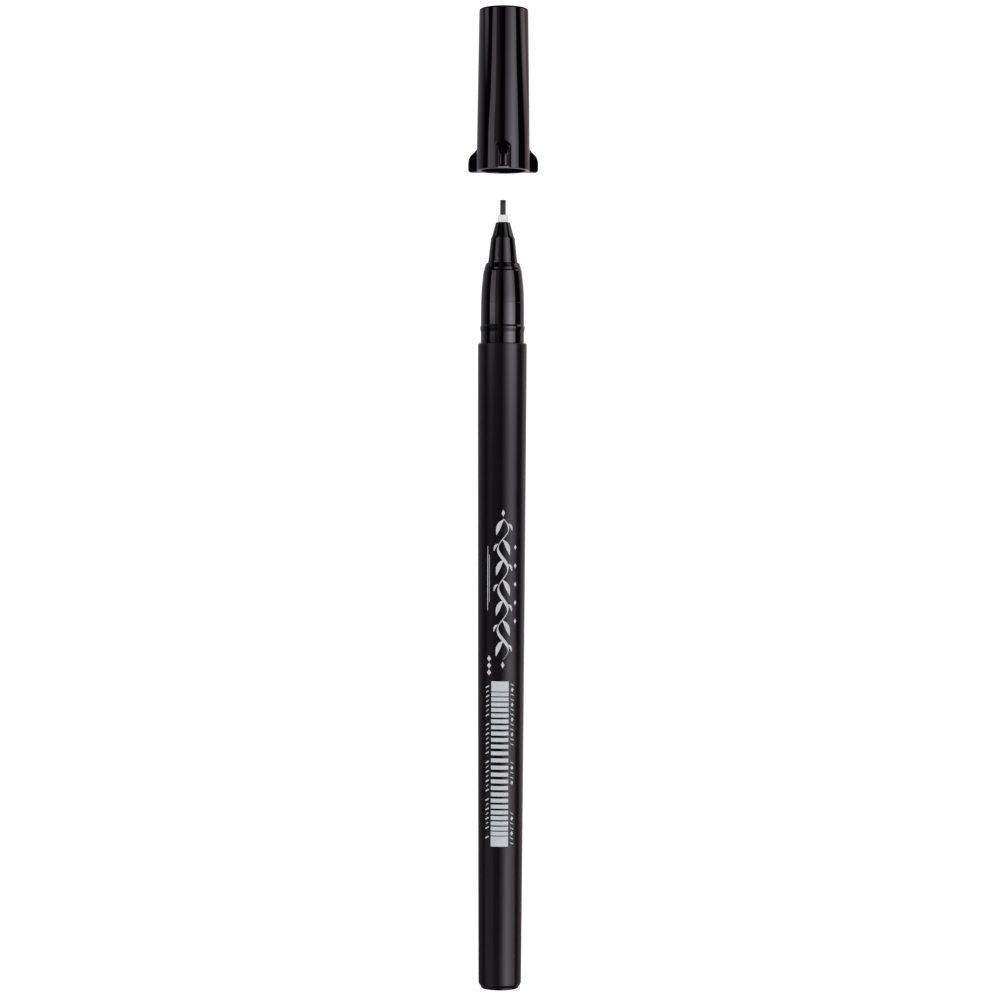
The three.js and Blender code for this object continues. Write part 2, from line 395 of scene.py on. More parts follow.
def make_tail_plug():
    profile = [
        (0.0, 0.0),
        (0.0, 3.36, 0.02),
        *spline([(0.0, 3.38), (0.05, 3.46), (0.16, 3.535), (0.38, 3.58)], 4)[1:-1],
        (0.38, 3.585, 0.02),
        (0.38, 3.11, 0.05),
        (7.0, 3.11, 0.25),
        (7.0, 2.31, 0.1),
        (1.3, 2.21, 0.25),
        (1.3, 0.0),
    ]
    return lathe("tail_plug_cap", profile, False, 192)


def make_front_section():
    dome = spline(
        [(128.94, 4.046), (130.2, 4.018), (131.9, 3.92), (133.2, 3.795), (134.2, 3.69), (134.84, 3.607)], 6
    )
    profile = [
        (112.9, 3.14, 0.03),
        (112.9, 3.42, 0.05),
        (113.3, 3.66, 0.2),
        (121.31, 3.66, 0.05),
        (121.31, 4.065, 0.03),
        (123.4, 4.065, 0.15),
        (123.98, 4.19, 0.5),
        (124.4, 4.205, 0.16),
        (124.74, 4.065, 0.06),
        (128.86, 4.065, 0.01),
        (128.9, 4.05, 0.02),
        *dome[1:-1],
        (134.86, 3.607, 0.05),
        (135.16, 3.499, 0.05),
        (135.5, 3.437, 0.08),
        (135.95, 3.285, 0.3),
        (136.3, 3.17, 0.1),
        (136.42, 3.1, 0.04),
        (136.42, 2.77, 0.05),
        *spline([(136.42, 2.8), (137.3, 2.67), (138.5, 2.54), (139.8, 2.395), (141.05, 2.256)], 4)[1:-1],
        (141.05, 2.256, 0.6),
        (141.28, 2.21, 0.06),
        (141.28, 1.66, 0.03),
        (136.2, 1.66, 0.1),
        (134.2, 2.25, 0.3),
        (127.4, 2.75, 0.3),
        (126.2, 3.14, 0.2),
    ]
    return lathe("front_section_grip", profile, True, 208)


def make_tip_holder():
    profile = [
        (134.6, 0.97, 0.02),
        (134.6, 1.42, 0.05),
        (134.9, 1.62, 0.1),
        (141.31, 1.62, 0.02),
        (141.31, 2.0, 0.03),
        (141.38, 2.085, 0.05),
        (142.3, 1.825, 3.0),
        (143.3, 1.55, 3.0),
        (143.92, 1.385, 0.4),
        (144.1, 1.3, 0.1),
        (144.1, 0.97, 0.02),
    ]
    return lathe("tip_holder_cone", profile, True, 160)


def make_sleeve():
    profile = [
        (135.0, 0.57, 0.02),
        (135.0, 0.95, 0.05),
        (145.54, 0.95, 0.1),
        (145.54, 0.57, 0.03),
    ]
    return lathe("nib_sleeve_white", profile, True, 128)


def make_reservoir():
    core = [
        (23.8, 0.0),
        (23.8, 2.94, 0.12),
        (125.0, 2.94, 0.12),
        (125.0, 0.58, 0.05),
        (116.7, 0.58, 0.1),
        (116.7, 0.0),
    ]
    film = [
        (23.8, 2.97, 0.02),
        (23.8, 3.07, 0.02),
        (125.0, 3.07, 0.02),
        (125.0, 2.97, 0.02),
    ]
    return lathe("ink_reservoir_fibre", core, False, 96), lathe(
        "reservoir_film_wrap", film, True, 96
    )


# ------------------------------------------------------------------ pen: nib


def make_nib():
    """A round shank that turns into a flat blade, with fine ink channels and a ground writing edge."""
    around = 224
    beta = np.arange(around) * (2 * math.pi / around)
    width, thick, power = 0.525, 0.23, 6.0

    def blade(half_thick, grooves):
        # more points where the outline turns fast, so the parameter follows the outline's length
        t = np.linspace(0, 2 * math.pi, 4001)
        w = width * np.sign(np.cos(t)) * np.abs(np.cos(t)) ** (2 / power)
        h = half_thick * np.sign(np.sin(t)) * np.abs(np.sin(t)) ** (2 / power)
        length = np.concatenate([[0], np.cumsum(np.hypot(np.diff(w), np.diff(h)))])
        even = length[-1] * beta / (2 * math.pi)
        w, h = np.interp(even, length, w), np.interp(even, length, h)
        h = h * (1 - 0.15 * (w / width) ** 2)
        if grooves > 0:
            cut = sum(np.exp(-(((w - c) / 0.028) ** 2)) for c in (-0.2, 0.0, 0.2))
            h -= np.sign(h) * grooves * cut * (np.abs(h) > 0.5 * half_thick)
        return w, h

    def shank(radius):
        return radius * np.cos(beta), radius * np.sin(beta)

    sections = [(117.0, shank(0.30)), (117.6, shank(0.52)), (130.0, shank(0.52)), (144.9, shank(0.52))]
    w0, h0 = shank(0.52)
    w1, h1 = blade(thick, 0.0)
    for k in range(1, 7):
        f = k / 6
        e = f * f * (3 - 2 * f)
        sections.append((144.9 + 0.45 * f, (w0 + (w1 - w0) * e, h0 + (h1 - h0) * e)))
    for s in np.linspace(145.5, 147.6, 11):
        sections.append((s, blade(thick, 0.016 * min(1.0, (s - 145.4) / 0.3))))
    for f in np.linspace(0.06, 1.0, 9):
        sections.append((147.6 + 0.72 * f, blade(thick + (0.135 - thick) * f, 0.016 * (1 - f))))
    w, h = blade(0.12, 0.0)
    sections.append((148.35, (w * 0.985, h * 0.95)))
    sections.append((148.38, (w * 0.955, h * 0.75)))

    u = np.array([0, math.cos(FACING), math.sin(FACING)])
    v = np.array([0, math.cos(FACING + math.pi / 2), math.sin(FACING + math.pi / 2)])
    verts, faces = [], []
    for s, (w, h) in sections:
        base = np.array([(s - HALF) * MM, 0, AXIS_Z * MM])
        verts.append(base + (w[:, None] * v + h[:, None] * u) * MM)
    rows = len(sections)
    for i in range(rows - 1):
        for j in range(around):
            k = (j + 1) % around
            # the outline runs from v towards u, which is against the angle round the pen
            faces.append((i * around + k, i * around + j, (i + 1) * around + j, (i + 1) * around + k))
    verts = np.concatenate(verts)
    tail = len(verts)
    verts = np.vstack(
        [verts, [(117.0 - HALF) * MM, 0, AXIS_Z * MM], [(148.38 - HALF) * MM, 0, AXIS_Z * MM]]
    )
    last = (rows - 1) * around
    for j in range(around):
        k = (j + 1) % around
        faces.append((tail, j, k))
        faces.append((tail + 1, last + k, last + j))
    obj = mesh_object("nib_blade", verts, faces)
    sharpen(obj, 40)
    return obj


def sharpen(obj, degrees):
    """Edges that turn by more than this many degrees are shaded as creases."""
    mesh = obj.data
    normals = [p.normal.copy() for p in mesh.polygons]
    by_edge = {}
    for p in mesh.polygons:
        for key in p.edge_keys:
            by_edge.setdefault(key, []).append(p.index)
    limit = math.cos(math.radians(degrees))
    for e in mesh.edges:
        pair = by_edge.get(tuple(sorted(e.vertices)), [])
        if len(pair) == 2 and normals[pair[0]].dot(normals[pair[1]]) < limit:
            e.use_edge_sharp = True
    mesh.update()


# ------------------------------------------------------------------ cap

FIN_HALF = 1.2  # at radius 5, where a fin leaves the cap
FIN_DRAFT = 0.15  # each side leans in by this much per millimetre
FIN_EDGE = 0.62
FIN_FOOT = 0.32
FILLET = 0.42


def fin_height_table():
    """The fin's side outline: its crest's radius at each station from the mouth."""
    out = []
    for t in np.linspace(0, 1, 24):
        r = (1 - t) ** 2 * 6.88 + 2 * t * (1 - t) * 7.405 + t * t * 7.45
        out.append((0.6 * t * t, r))
    for t in np.linspace(0, 1, 24)[1:]:
        b = ((1 - t) ** 3, 3 * (1 - t) ** 2 * t, 3 * (1 - t) * t * t, t**3)
        out.append(
            (
                b[0] * 1.5 + b[1] * 2.5 + b[2] * 3.0 + b[3] * 3.48,
                b[0] * 7.45 + b[1] * 7.45 + b[2] * 7.17 + b[3] * 6.5,
            )
        )
    out += [(3.66, 6.2), (3.84, 5.92), (4.0, 5.76), (4.16, 5.6), (4.44, 5.2), (4.78, 4.65), (5.4, 3.6)]
    p = np.array(out)
    # one even table, eased a little past the straight crest
    a = np.linspace(0, 5.4, 1081)
    r = np.interp(a, p[:, 0], p[:, 1])
    kernel = np.exp(-0.5 * (np.arange(-24, 25) / 10.0) ** 2)
    kernel /= kernel.sum()
    eased = np.convolve(np.pad(r, 24, mode="edge"), kernel, mode="valid")
    blend = np.clip((a - 1.0) / 0.4, 0, 1)
    return a, r * (1 - blend) + eased * blend


FIN_A, FIN_R = fin_height_table()

CAP_SIDE = spline([(0.1, 5.01), (4.5, 4.965), (14.1, 4.845), (23.2, 4.71), (30.08, 4.625)], 8)


def cap_body_radius(a):
    """The cap's own radius at each station from the mouth, its lower edge rounded."""
    p = np.array(CAP_SIDE)
    r = np.interp(a, p[:, 0], p[:, 1])
    e = 0.1
    inner = 5.01 - e
    edge = inner + np.sqrt(np.maximum(e * e - (e - np.minimum(a, e)) ** 2, 0))
    return np.where(a < e, edge, r)


def cap_distance(radius, angle, a):
    """Signed distance, near the surface, of the cap's outside. One fin points to the camera, and the
    other two are a third of a turn from it."""
    body = radius - cap_body_radius(a)
    third = 2 * math.pi / 3
    off = (angle + third / 2) % third - third / 2
    w = np.abs(radius * np.sin(off))
    h = radius * np.cos(off)
    crest = np.interp(a, FIN_A, FIN_R)
    slope = np.interp(a, FIN_A[1:-1], (FIN_R[2:] - FIN_R[:-2]) / (FIN_A[2:] - FIN_A[:-2]))
    slope = np.clip(slope, -3, 0)
    steep = 1 / np.sqrt(1 + slope * slope)
    foot = FIN_FOOT - np.sqrt(np.maximum(FIN_FOOT**2 - np.maximum(FIN_FOOT - a, 0) ** 2, 0))
    lean = math.cos(math.atan(FIN_DRAFT))
    qx = (w - FIN_HALF + FIN_DRAFT * (h - 5)) * lean + foot + FIN_EDGE
    qy = (h - crest) * steep + FIN_EDGE
    fin = np.hypot(np.maximum(qx, 0), np.maximum(qy, 0)) + np.minimum(np.maximum(qx, qy), 0) - FIN_EDGE
    # a union with a round fillet
    return np.maximum(FILLET, np.minimum(fin, body)) - np.hypot(
        np.maximum(FILLET - fin, 0), np.maximum(FILLET - body, 0)
    )


def cap_surface(angle, a):
    """The cap's outer radius at each angle and station, by halving."""
    lo = np.full(np.broadcast(angle, a).shape, 4.2)
    hi = np.full_like(lo, 7.8)
    for _ in range(40):
        mid = (lo + hi) / 2
        outside = cap_distance(mid, angle, a) > 0
        hi = np.where(outside, mid, hi)
        lo = np.where(outside, lo, mid)
    return (lo + hi) / 2


def cap_normal(radius, angle, a):
    """Unit normals (along, out, round) of the cap's outer surface."""
    e = 0.004
    d = cap_distance
    g_a = (d(radius, angle, a + e) - d(radius, angle, np.maximum(a - e, 0))) / (
        e + np.minimum(a, e)
    )
    g_r = (d(radius + e, angle, a) - d(radius - e, angle, a)) / (2 * e)
    g_t = (d(radius, angle + e / 6, a) - d(radius, angle - e / 6, a)) / (2 * e / 6) / radius
    n = np.stack([g_a, g_r, g_t], -1)
    return n / np.linalg.norm(n, axis=-1, keepdims=True)


def make_cap():
    # angles round one third, close together on the fins' side walls
    half = np.concatenate(
        [
            np.linspace(0, 5.0, 8)[:-1],
            np.linspace(5.0, 15.5, 36)[:-1],
            np.linspace(15.5, 22.0, 10)[:-1],
            np.linspace(22.0, 60.0, 19),
        ]
    )
    sector = np.concatenate([-half[::-1][:-1], half[:-1]])
    angles = np.radians(np.concatenate([sector + 120 * i for i in range(3)]))
    around = len(angles)
    edge = 0.6 * np.linspace(0, 1, 20) ** 2
    small = 0.1 * (1 - np.cos(np.linspace(0, math.pi / 2, 8)))
    stations = np.unique(
        np.round(
            np.concatenate(
                [
                    edge,
                    small,
                    np.linspace(0.6, 1.5, 7),
                    np.linspace(1.5, 3.0, 14),
                    np.linspace(3.0, 4.9, 26),
                    np.linspace(4.9, 6.5, 6),
                    np.linspace(6.5, 30.08, 44),
                ]
            ),
            5,
        )
    )
    keep = [stations[0]]
    for s in stations[1:]:
        if s - keep[-1] > 0.0008:
            keep.append(s)
    stations = np.array(keep)

    rows_r, rows_a, rows_n = [], [], []
    for a in stations:
        aa = np.full(around, a)
        r = cap_surface(angles, aa)
        n = cap_normal(r, angles, aa)
        rows_r.append(r)
        rows_a.append(aa)
        rows_n.append(n)
    # the top edge and the flat top
    for t in np.linspace(0, math.pi / 2, 10)[1:]:
        rows_r.append(np.full(around, 4.625 - 0.39 + 0.39 * math.cos(t)))
        rows_a.append(np.full(around, 30.08 + 0.39 * math.sin(t)))
        rows_n.append(np.tile([math.sin(t), math.cos(t), 0.0], (around, 1)))
    for r in (3.2, 1.6):
        rows_r.append(np.full(around, r))
        rows_a.append(np.full(around, CAP_LENGTH))
        rows_n.append(np.tile([1.0, 0.0, 0.0], (around, 1)))
    top_pole = len(rows_r)

    # the inside, from the end wall's middle to the mouth's inner edge
    inside = rounded(
        [
            (29.2, 0.0),
            (29.2, 3.7, 0.15),
            (15.7, 3.87, 0.2),
            (15.3, 4.1, 0.2),
            (5.8, 4.13, 0.4),
            (5.2, 4.26, 0.4),
            (0.16, 4.26, 0.1),
            (0.0, 4.37, 0.06),
            (0.0, 4.5),
        ],
        False,
    )
    inside_rows = []
    for s, r, along, out in inside[1:]:
        inside_rows.append((s, r, along, out))
    # the mouth's flat face, joined to the outside's first row
    blocks = []
    for s, r, along, out in inside_rows:
        blocks.append((np.full(around, s), np.full(around, r), np.tile([along, out, 0.0], (around, 1))))
    outline = rows_r[0]
    for f in (0.25, 0.6, 0.85, 0.97):
        blocks.append(
            (np.zeros(around), 4.5 + (outline - 4.5) * f, np.tile([-1.0, 0.0, 0.0], (around, 1)))
        )
    for a, r, n in zip(rows_a, rows_r, rows_n):
        blocks.append((a, r, n))

    t = FACING + angles
    verts, normals = [], []
    verts.append(np.array([[(MOUTH + 29.2 - HALF) * MM, 0, AXIS_Z * MM]]))
    normals.append(np.array([[-1.0, 0, 0]]))
    for a, r, n in blocks:
        verts.append(
            np.stack(
                [
                    (MOUTH + a - HALF) * MM,
                    r * np.cos(t) * MM,
                    (AXIS_Z + r * np.sin(t)) * MM,
                ],
                -1,
            )
        )
        normals.append(
            np.stack(
                [
                    n[:, 0],
                    n[:, 1] * np.cos(t) - n[:, 2] * np.sin(t),
                    n[:, 1] * np.sin(t) + n[:, 2] * np.cos(t),
                ],
                -1,
            )
        )
    verts.append(np.array([[(MOUTH + CAP_LENGTH - HALF) * MM, 0, AXIS_Z * MM]]))
    normals.append(np.array([[1.0, 0, 0]]))
    faces = []
    count = len(blocks)
    for j in range(around):
        k = (j + 1) % around
        faces.append((0, 1 + k, 1 + j))
    for i in range(count - 1):
        a, b = 1 + i * around, 1 + (i + 1) * around
        for j in range(around):
            k = (j + 1) % around
            faces.append((a + j, a + k, b + k, b + j))
    last = 1 + (count - 1) * around
    for j in range(around):
        k = (j + 1) % around
        faces.append((last + j, last + k, 1 + count * around))
    return mesh_object("cap_moulding", np.concatenate(verts), faces, np.concatenate(normals))


def make_seal():
    profile = [
        (27.7, 0.0),
        (27.7, 2.08, 0.5),
        (20.2, 2.4, 2.0),
        (15.6, 2.8, 0.4),
        (15.45, 2.88, 0.1),
        (15.45, 3.5, 0.1),
        (15.95, 3.825, 0.4),
        (29.12, 3.655, 0.1),
        (29.12, 0.0),
    ]
    return lathe("cap_inner_seal_cup", profile, False, 160, offset=MOUTH)


# ------------------------------------------------------------------ barrel print
# A generic ornament and gauge marks in place of lettering. Lengths across are measured round the barrel
# from the line that faces the camera.

INK_UP = 0.012
INK_DOWN = 0.010


class Ink:
    """Gathers closed slabs of printed ink that follow the barrel."""

    def __init__(self):
        self.verts, self.faces, self.count, self.slabs = [], [], 0, 0

    def slab(self, grid_s, grid_u):
        """A slab from a grid of stations and widths round the barrel, rows along the stroke."""
        rows, cols = grid_s.shape
        up = INK_UP + 0.0006 * (self.slabs % 5)
        self.slabs += 1
        r = barrel_radius(grid_s)
        angle = grid_u / r
        top = ring_point(grid_s, r + up, angle).reshape(-1, 3)
        low = ring_point(grid_s, r - INK_DOWN, angle).reshape(-1, 3)
        base = self.count
        self.verts += [top, low]
        self.count += 2 * rows * cols
        # which way round the grid runs decides which side faces out
        ds = grid_s[-1, cols // 2] - grid_s[0, cols // 2]
        du = grid_u[-1, cols // 2] - grid_u[0, cols // 2]
        es = grid_s[rows // 2, -1] - grid_s[rows // 2, 0]
        eu = grid_u[rows // 2, -1] - grid_u[rows // 2, 0]
        i = rows // 2 if rows > 2 else 0
        ds = grid_s[min(i + 1, rows - 1), cols // 2] - grid_s[i, cols // 2]
        du = grid_u[min(i + 1, rows - 1), cols // 2] - grid_u[i, cols // 2]
        flip = (ds * eu - du * es) > 0
        shift = rows * cols

        def add(*f):
            self.faces.append(tuple(reversed(f)) if flip else f)

        def at(i, j):
            return base + i * cols + j

        for i in range(rows - 1):
            for j in range(cols - 1):
                add(at(i, j), at(i + 1, j), at(i + 1, j + 1), at(i, j + 1))
                add(
                    at(i, j) + shift,
                    at(i, j + 1) + shift,
                    at(i + 1, j + 1) + shift,
                    at(i + 1, j) + shift,
                )
        for i in range(rows - 1):
            add(at(i, 0), at(i, 0) + shift, at(i + 1, 0) + shift, at(i + 1, 0))
            add(at(i + 1, cols - 1), at(i + 1, cols - 1) + shift, at(i, cols - 1) + shift, at(i, cols - 1))
        for j in range(cols - 1):
            add(at(0, j + 1), at(0, j + 1) + shift, at(0, j) + shift, at(0, j))
            add(at(rows - 1, j), at(rows - 1, j) + shift, at(rows - 1, j + 1) + shift, at(rows - 1, j + 1))

    def stroke(self, line, widths, cols=5):
        """A stroke along a line of (station, across) points with a width at each."""
        p = np.array(line, float)
        w = np.maximum(np.array(widths, float), 0.03)
        d = np.gradient(p, axis=0)
        d /= np.linalg.norm(d, axis=1, keepdims=True)
        n = np.stack([-d[:, 1], d[:, 0]], -1)
        f = np.linspace(-0.5, 0.5, cols)
        grid = p[:, None, :] + n[:, None, :] * (w[:, None] * f[None, :])[..., None]
        self.slab(grid[..., 0], grid[..., 1])

    def block(self, s0, s1, u0, u1):
        cols = max(3, int(math.ceil(abs(u1 - u0) / 0.2)) + 1)
        rows = max(2, int(math.ceil(abs(s1 - s0) / 1.0)) + 1)
        gs, gu = np.meshgrid(np.linspace(s0, s1, rows), np.linspace(u0, u1, cols), indexing="ij")
        self.slab(gs, gu)

    def lozenge(self, s, u, length, width, lean=0.0):
        """A pen-made diamond: a short stroke that swells from a point and back."""
        t = np.linspace(-0.5, 0.5, 9)
        line = np.stack([s + length * t * math.cos(lean), u + length * t * math.sin(lean)], -1)
        self.stroke(line, width * (1 - np.abs(2 * t)), 5)

    def build(self, name):
        obj = mesh_object(name, np.concatenate(self.verts), self.faces, smooth=False)
        return obj


def curve(points, steps):
    """A smooth line through points."""
    per = max(2, int(round(steps / (len(points) - 1))))
    return np.array(spline(points, per))


def pen_widths(line, nib, angle, least=0.12):
    """What a broad pen held at one angle leaves along a line: thick across the nib, thin along it."""
    d = np.gradient(line, axis=0)
    a = np.arctan2(d[:, 1], d[:, 0]) - angle
    w = np.maximum(nib * np.abs(np.sin(a)), least)
    n = len(w)
    ends = np.minimum(1, np.minimum(np.arange(n), np.arange(n)[::-1]) / (0.12 * n) + 0.12)
    return w * ends


def make_print():
    ink = Ink()

    # running ornament: a waving stem with a leaf in each bend
    top, bottom, mid, reach = 90.0, 60.4, 0.30, 1.05
    waves = 3.5
    t = np.linspace(0, 1, 150)
    s = top - 1.6 + (bottom + 1.6 - top + 1.6) * t
    u = mid + reach * np.sin(2 * math.pi * waves * t) * (0.92 + 0.08 * np.cos(2 * math.pi * t))
    stem = np.stack([s, u], -1)
    ink.stroke(stem, pen_widths(stem, 0.62, math.radians(28), 0.16), 5)
    for k in range(7):
        tc = (k + 0.5) / (2 * waves)
        sc = top - 1.6 + (bottom - top + 3.2) * tc
        side = 1 if k % 2 == 0 else -1
        # the leaf grows from the bend before and lies in the hollow of this one
        leaf = curve(
            [
                (sc + 1.75, mid + side * 0.15),
                (sc + 0.95, mid - side * 0.55),
                (sc - 0.1, mid - side * 1.0),
                (sc - 1.2, mid - side * 1.28),
            ],
            24,
        )
        x = np.linspace(0, 1, len(leaf))
        ink.stroke(leaf, 0.1 + 0.72 * np.sin(math.pi * x) ** 1.2, 5)
        small = curve(
            [
                (sc + 0.9, mid + side * 0.95),
                (sc + 0.5, mid + side * 1.45),
                (sc - 0.4, mid + side * 1.72),
            ],
            12,
        )
        x = np.linspace(0, 1, len(small))
        ink.stroke(small, 0.08 + 0.34 * np.sin(math.pi * x), 5)
    ink.lozenge(top - 0.6, mid, 1.3, 0.62)
    ink.lozenge(bottom + 0.6, mid, 1.3, 0.62)

    # a thin ruled pair at the left, and spaced points at the right
    line = np.stack([np.linspace(83.2, 71.2, 40), np.full(40, -2.72)], -1)
    ink.stroke(line, 0.11 + 0.05 * np.sin(np.linspace(0, math.pi, 40)), 3)
    line = np.stack([np.linspace(81.6, 72.8, 40), np.full(40, -2.36)], -1)
    ink.stroke(line, np.full(40, 0.09), 3)
    for k in range(5):
        ink.lozenge(83.0 - 3.45 * k, 2.72, 0.95, 0.58)
    for k in range(3):
        ink.lozenge(62.2 - 1.3 * k, -2.36, 1.1, 0.9)

    # a gauge of line widths: a white panel whose gaps grow and then shrink in even steps
    u0, u1 = -1.86, 1.46
    head, foot = 57.95, 27.05
    ink.block(head, head - 1.9, u0, u1)
    ink.block(foot + 1.9, foot, u0, u1)
    inner = head - foot - 3.8
    steps = 25
    gaps = np.array([0.17 + 0.038 * min(i, steps - 1 - i) for i in range(steps)])
    bars = np.full(steps - 1, (inner - gaps.sum()) / (steps - 1))
    at = head - 1.9
    for i in range(steps - 1):
        at -= gaps[i]
        ink.block(at, at - bars[i], u0, u1)
        at -= bars[i]

    # rows of slanted practice strokes at the left, thick and thin in turn, and diamonds between short
    # strokes at the right
    for k in range(33):
        if k % 8 == 7:
            continue
        s = 56.9 - 0.88 * k
        t = np.linspace(-0.5, 0.5, 7)
        reach = 0.78 if k % 2 == 0 else 0.56
        line = np.stack([s + 0.42 * t, -2.68 + reach * t], -1)
        ink.stroke(line, (0.24 if k % 2 == 0 else 0.15) * (1 - 0.5 * np.abs(2 * t) ** 3), 3)
    for first, count in ((57.3, 13), (42.7, 5), (33.2, 7)):
        for k in range(count):
            s = first - 0.93 * k
            if k % 3 == 1:
                ink.lozenge(s, 2.2, 0.8, 0.62)
            else:
                t = np.linspace(-0.5, 0.5, 7)
                line = np.stack([s - 0.34 * t, 2.2 + 0.66 * t], -1)
                ink.stroke(line, 0.17 * (1 - 0.5 * np.abs(2 * t) ** 3), 3)
    return ink.build("barrel_print")


# ------------------------------------------------------------------ build and finish the pieces

barrel = make_barrel()
tail_plug = make_tail_plug()
section = make_front_section()
holder = make_tip_holder()
sleeve = make_sleeve()
nib = make_nib()
core, film = make_reservoir()
cap = make_cap()
seal = make_seal()
marks = make_print()

gloss = gloss_black("gloss_black_section", 0)
wear(barrel, matte_black())
wear(tail_plug, gloss_black("gloss_black_tail", 2))
wear(section, gloss)
wear(holder, gloss_black("gloss_black_holder", 4))
wear(sleeve, white_plastic())
wear(nib, nib_material())
wear(core, fibre_material())
wear(film, film_material())
wear(cap, gloss_black("gloss_black_cap", 6))
wear(seal, seal_material())
wear(marks, print_material())

for obj, body, node, slot in (
    (barrel, "pen", "barrel", "matte_black_plastic"),
    (tail_plug, "pen", "tail_plug", "gloss_black_plastic"),
    (section, "pen", "front_section", "gloss_black_plastic"),
    (holder, "pen", "tip_holder", "gloss_black_plastic"),
    (sleeve, "pen", "nib_sleeve", "white_plastic"),
    (nib, "pen", "nib", "nib_black"),
    (core, "pen", "ink_reservoir", "ink_fibre"),
    (film, "pen", "reservoir_film", "clear_film"),
    (cap, "cap", "cap_shell", "gloss_black_plastic"),
    (seal, "cap", "cap_inner_seal", "soft_seal_black"),
):
    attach(obj, body)
    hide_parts(node)
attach(marks, "pen")


# ------------------------------------------------------------------ floor

TOWARD = Vector((0, math.cos(FACING), math.sin(FACING)))  # from the pen to the camera
RIGHT = Vector((0, math.cos(FACING + math.pi / 2), math.sin(FACING + math.pi / 2)))


def make_floor():
    size = 14.0
    obj = mesh_object(
        "floor",
        [(-size, -size, 0), (size, -size, 0), (size, size, 0), (-size, size, 0)],
        [(0, 1, 2, 3)],
        smooth=False,
    )
    material = bpy.data.materials.new("floor_pale")
    material.use_nodes = True
    tree = material.node_tree
    tree.nodes.clear()
    out = tree.nodes.new("ShaderNodeOutputMaterial")
    paper = tree.nodes.new("ShaderNodeBsdfDiffuse")
    paper.inputs["Color"].default_value = (0.9, 0.9, 0.9, 1)
    lit = tree.nodes.new("ShaderNodeEmission")
    lit.inputs["Color"].default_value = (1, 1, 1, 1)
    lit.inputs["Strength"].default_value = 0.6
    both = tree.nodes.new("ShaderNodeAddShader")
    tree.links.new(paper.outputs[0], both.inputs[0])
    tree.links.new(lit.outputs[0], both.inputs[1])
    tree.links.new(both.outputs[0], out.inputs["Surface"])
    obj.data.materials.append(material)
    obj.visible_glossy = False  # dark panels, not the floor, are what the gloss mirrors
    return obj


make_floor()


# ------------------------------------------------------------------ light


def ease(value, low, high):
    t = np.clip((value - low) / (high - low), 0, 1)
    return t * t * (3 - 2 * t)


def panels(angle, x):
    """Brightness of the light tent round the pen, by angle from the camera's side, in degrees, and by
    place along the pen, in millimetres."""

    def band(a0, a1, edge=2.5):
        return ease(angle, a0 - edge / 2, a0 + edge / 2) * (1 - ease(angle, a1 - edge / 2, a1 + edge / 2))

    # key panel at the right: a lamp beside the front section, and a long diffuser
    lamps = np.interp(
        x,
        [-215, -185, -115, -85, 0, 20, 28, 33, 41, 46, 58, 90, 122, 136, 150, 160, 172],
        [0.0, 3.4, 3.3, 2.9, 2.3, 2.3, 2.9, 4.8, 5.5, 5.0, 3.1, 3.1, 2.3, 1.9, 1.3, 1.0, 0.0],
    )
    turned = angle + 7 * (1 - ease(x, -110, -30))  # beside the tail it reaches further left
    across = np.interp(turned, [-4, 5, 10, 13, 24, 35, 46, 60, 74], [0.0, 0.05, 0.12, 0.17, 0.4, 0.84, 1.0, 0.64, 0.46])
    across = across * (1 + 0.22 * (1 - ease(turned, 20, 36)) * ease(x, 36, 50))
    right_end = np.interp(
        x, [-120, -86, -20, 30, 45, 88, 99, 109, 122, 136, 157], [84, 78, 72, 71.5, 70, 68.5, 64.5, 59.5, 56, 57, 64]
    )
    left_end = np.interp(x, [-110, -60, 20, 122, 150], [-9, -3, 4, 5, 20])
    glow = lamps * across * band(left_end, right_end)

    # fill panel at the left, which starts beside the front section
    outer = -np.interp(x, [-100, -60, -20, 70, 91, 99, 109, 122], [84, 82, 70, 70, 67.5, 59.0, 54.5, 51.5])
    inner = -np.interp(x, [-60, -20, 91, 99, 109], [36, 41, 41, 36, 33.5])
    level = np.interp(
        x,
        [-150, -80, -30, 34, 38, 41, 45, 55, 67, 91, 122, 134, 150, 165],
        [0.42, 0.42, 0.2, 0.2, 0.3, 1.2, 2.3, 1.8, 1.6, 1.4, 1.25, 0.3, 0.05, 0.0],
    )
    fill = np.interp(angle, [-73, -62, -47, -38], [0.92, 1.02, 0.82, 0.72]) * level
    glow = glow + fill * band(outer, inner) + 0.2 * level * band(-48, -22, 10)

    # narrow strip at the far right, slanting round beside the cap
    start = np.interp(x, [88, 99, 109, 122, 132, 148], [110, 101, 92.5, 82.5, 84, 118])
    strip = (0.62 + 1.04 * ease(x, 90, 112)) * ease(angle, start - 7, start + 6)
    strip = strip * (1 - 0.76 * ease(angle, start + 20, start + 34) * ease(x, 86, 104))
    strip = strip * np.interp(x, [-130, -100, -60], [0.35, 0.5, 0.85])
    glow = np.maximum(glow, strip * ease(x, -215, -175) * (1 - 0.75 * ease(x, 122, 138)) * (1 - ease(x, 140, 170)))

    # dim reflector at the far left, and one more beside the cap's top
    rim = 0.35 * (1 - ease(angle, -124, -82)) * np.interp(x, [-110, -60, 20, 40], [0.3, 0.5, 0.75, 1.0])
    glow = np.maximum(glow, rim * (1 - ease(x, 140, 170)))
    patch = 1.05 * band(-96, -76, 8) * ease(x, 99, 124) * (1 - ease(x, 126, 136))
    glow = np.maximum(glow, patch)

    # the faint front, and the white backdrop behind the pen
    glow = np.maximum(glow, 0.11 * band(-30, -14, 8))
    backdrop = np.interp(x, [22, 34, 54, 66], [0.3, 0.07, 0.07, 0.3])
    behind = backdrop * np.maximum(ease(angle, 160, 168), 1 - ease(angle, -168, -160))
    return np.maximum(glow, behind)


